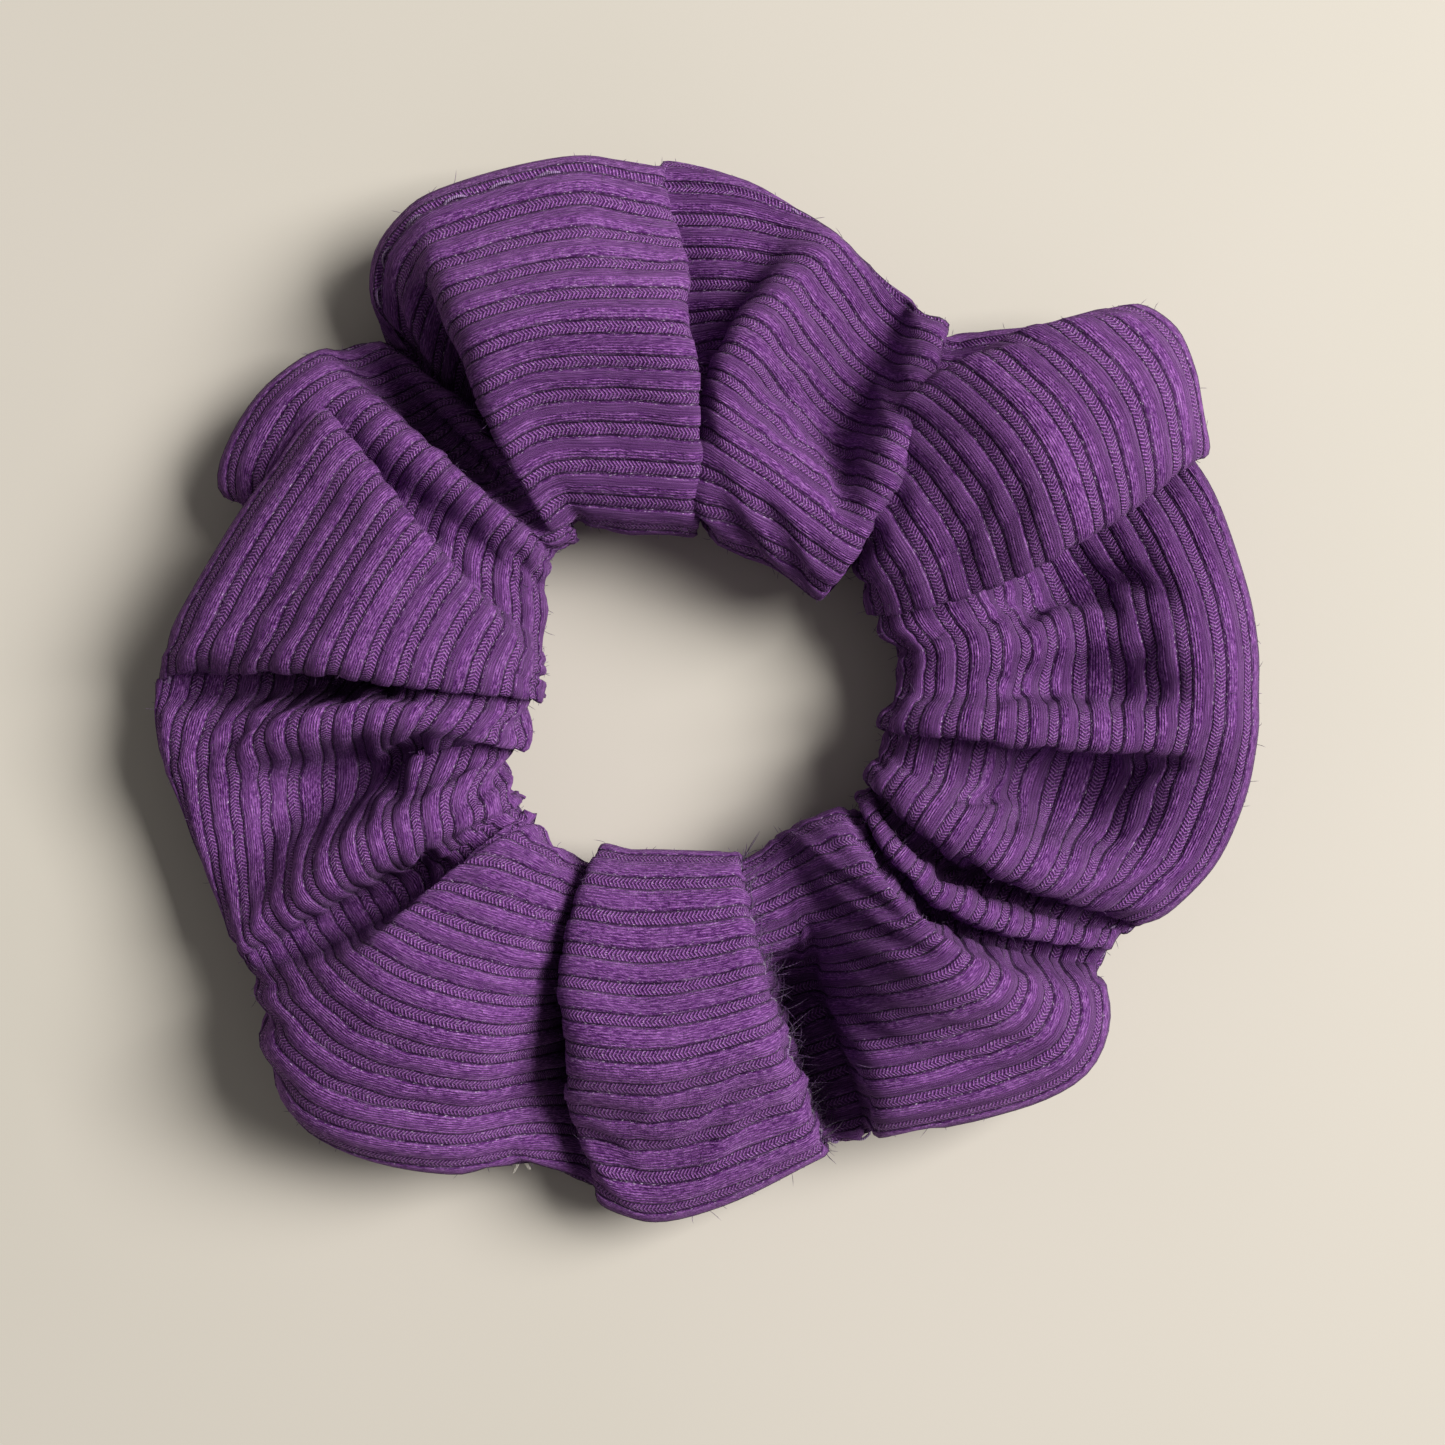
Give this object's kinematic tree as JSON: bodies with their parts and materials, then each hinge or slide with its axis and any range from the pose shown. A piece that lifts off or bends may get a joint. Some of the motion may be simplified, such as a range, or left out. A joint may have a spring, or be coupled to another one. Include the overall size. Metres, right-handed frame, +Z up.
{
  "type": "hair scrunchie",
  "caption": "Ribbed knit hair scrunchie: a fabric tube gathered into a soft pleated ring on a free-running loop of flat elastic, closed by two sewn seams.",
  "frame": {"origin": "on the surface the scrunchie lies on, at the middle of its bounding box", "axes": "+Z up through the centre hole; +X and +Y in the plane of the ring, with the closing seam at 285 degrees from +X"},
  "size_m": [0.112, 0.1082, 0.0258],
  "materials": {
    "knit": "heathered purple fine-rib knit, soft and slightly fuzzy",
    "seam_thread": "purple spun sewing thread",
    "elastic": "woven off-white elastic",
    "white_thread": "off-white spun sewing thread"
  },
  "bodies": {
    "cover": {"fabric_tube": "knit", "long_seam_thread": "seam_thread", "closing_seam_thread": "seam_thread"},
    "band": {"elastic_band": "elastic", "elastic_stitches": "white_thread"}
  },
  "joints": [
    {"name": "elastic_runs_round", "type": "hinge", "parent": "cover", "child": "band", "pos_m": [-0.00031, -0.00073, 0.0095], "axis": [0, 0, 1], "continuous": true}
  ]
}
